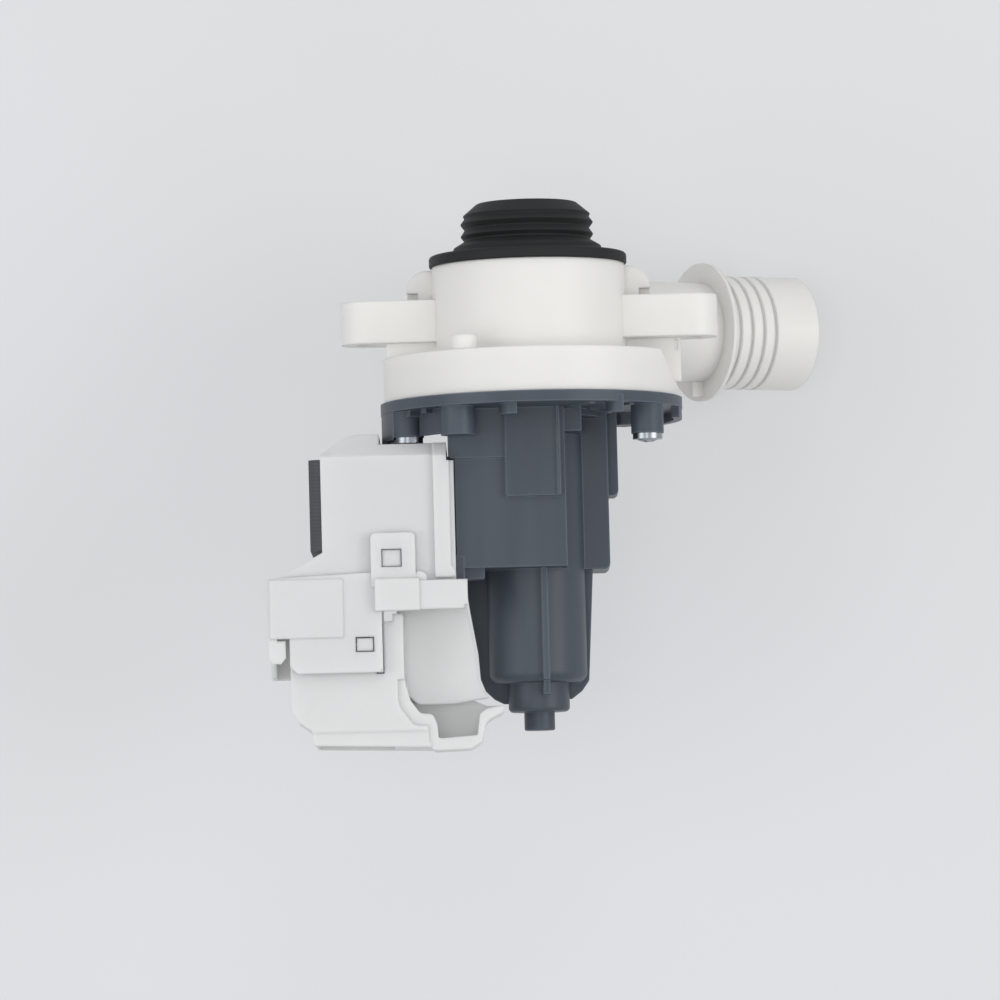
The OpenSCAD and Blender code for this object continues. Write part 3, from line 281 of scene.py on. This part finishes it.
def board_material():
    m = Nodes("board")
    cloud = m.noise(3, 3, 0.5)
    color = m.ramp(cloud, [(NOISE_LOW, srgb(161, 162, 163)), (NOISE_HIGH, srgb(164, 165, 167))])
    m.link(color, "Color", m.bsdf, "Base Color")
    m.link(color, "Color", m.bsdf, "Emission Color")
    m.bsdf.inputs["Emission Strength"].default_value = 1.0
    m.bsdf.inputs["Roughness"].default_value = 0.75
    m.bsdf.inputs["Specular IOR Level"].default_value = 0.0
    see_through = m.add("ShaderNodeBsdfTransparent")
    side = m.add("ShaderNodeNewGeometry")
    away = m.add("ShaderNodeVectorMath", operation="LENGTH")
    m.link(m.coord, "Object", away, 0)
    fade = m.spread(away, 0.0, 1.0, "Value", FADE_START, FADE_END)
    fade.interpolation_type = "SMOOTHSTEP"
    clear = m.add("ShaderNodeMath", operation="MAXIMUM")
    m.link(side, "Backfacing", clear, 0)
    m.link(fade, "Result", clear, 1)
    mix = m.add("ShaderNodeMixShader")
    m.link(clear, "Value", mix, "Fac")
    m.tree.links.new(m.bsdf.outputs["BSDF"], mix.inputs[1])
    m.tree.links.new(see_through.outputs["BSDF"], mix.inputs[2])
    m.link(mix, "Shader", m.out, "Surface")
    return m.mat


def flat_board(name, centre, normal, half, material):
    bm = bmesh.new()
    bmesh.ops.create_grid(bm, x_segments=2, y_segments=2, size=half)
    mesh = bpy.data.meshes.new(name)
    bm.to_mesh(mesh)
    bm.free()
    obj = bpy.data.objects.new(name, mesh)
    obj.rotation_euler = normal.to_track_quat("Z", "Y").to_euler()
    obj.location = centre
    mesh.materials.append(material)
    bpy.context.scene.collection.objects.link(obj)
    return obj


board = flat_board("board", TARGET + AWAY * BOARD_DISTANCE, -AWAY, BOARD_HALF,
                   board_material())
board.visible_diffuse = False
board.visible_glossy = False
board.visible_transmission = False
board.visible_shadow = False


def lamp(name, place, size, power, color):
    data = bpy.data.lights.new(name, "AREA")
    data.shape = "DISK"
    data.size = size
    data.energy = power
    data.color = color
    obj = bpy.data.objects.new(name, data)
    obj.location = place
    obj.rotation_euler = (Vector(place) - TARGET).to_track_quat("Z", "Y").to_euler()
    bpy.context.scene.collection.objects.link(obj)
    return obj


# Soft lamps in front of the part, by place, diameter and power
NEUTRAL = (1.0, 1.0, 1.0)
WARM = (1.0, 0.995, 0.985)
lamp("soft_left", (-1.5, -1.3, -0.15), 1.3, 8, NEUTRAL)
lamp("soft_right", (1.5, -1.35, -0.1), 1.3, 12.5, WARM)
lamp("front_fill", (-0.25, -2.2, -0.3), 0.8, 6, NEUTRAL)
lamp("top_front", (0.1, -1.3, 1.3), 0.9, 3, NEUTRAL)

# The world lights the part softly and shows a plain pale gray where the board ends

world = bpy.data.worlds.new("studio")
bpy.context.scene.world = world
world.use_nodes = True
tree = world.node_tree
tree.nodes.clear()
out = tree.nodes.new("ShaderNodeOutputWorld")
rays = tree.nodes.new("ShaderNodeLightPath")
lit = tree.nodes.new("ShaderNodeBackground")
lit.inputs["Color"].default_value = (0.985, 0.99, 1.0, 1)
lit.inputs["Strength"].default_value = 0.58
seen = tree.nodes.new("ShaderNodeBackground")
seen.inputs["Color"].default_value = (*srgb(224, 225, 227), 1)
seen.inputs["Strength"].default_value = 1.0
mix = tree.nodes.new("ShaderNodeMixShader")
shown = rays.outputs["Is Camera Ray"]
for kind in ("Is Glossy Ray", "Is Transmission Ray"):
    either = tree.nodes.new("ShaderNodeMath")
    either.operation = "MAXIMUM"
    tree.links.new(shown, either.inputs[0])
    tree.links.new(rays.outputs[kind], either.inputs[1])
    shown = either.outputs[0]
tree.links.new(shown, mix.inputs["Fac"])
tree.links.new(lit.outputs["Background"], mix.inputs[1])
tree.links.new(seen.outputs["Background"], mix.inputs[2])
tree.links.new(mix.outputs["Shader"], out.inputs["Surface"])

# Camera
data = bpy.data.cameras.new("camera")
data.sensor_width = 36
data.lens = LENS
data.clip_end = 20
camera = bpy.data.objects.new("camera", data)
camera.location = TARGET - AWAY * CAMERA_DISTANCE
look = (-AWAY).to_track_quat("Z", "Y")
camera.rotation_euler = (look @ Euler((0, 0, -ROLL)).to_quaternion()).to_euler()
bpy.context.scene.collection.objects.link(camera)
bpy.context.scene.camera = camera
bpy.context.scene.view_settings.view_transform = "Standard"
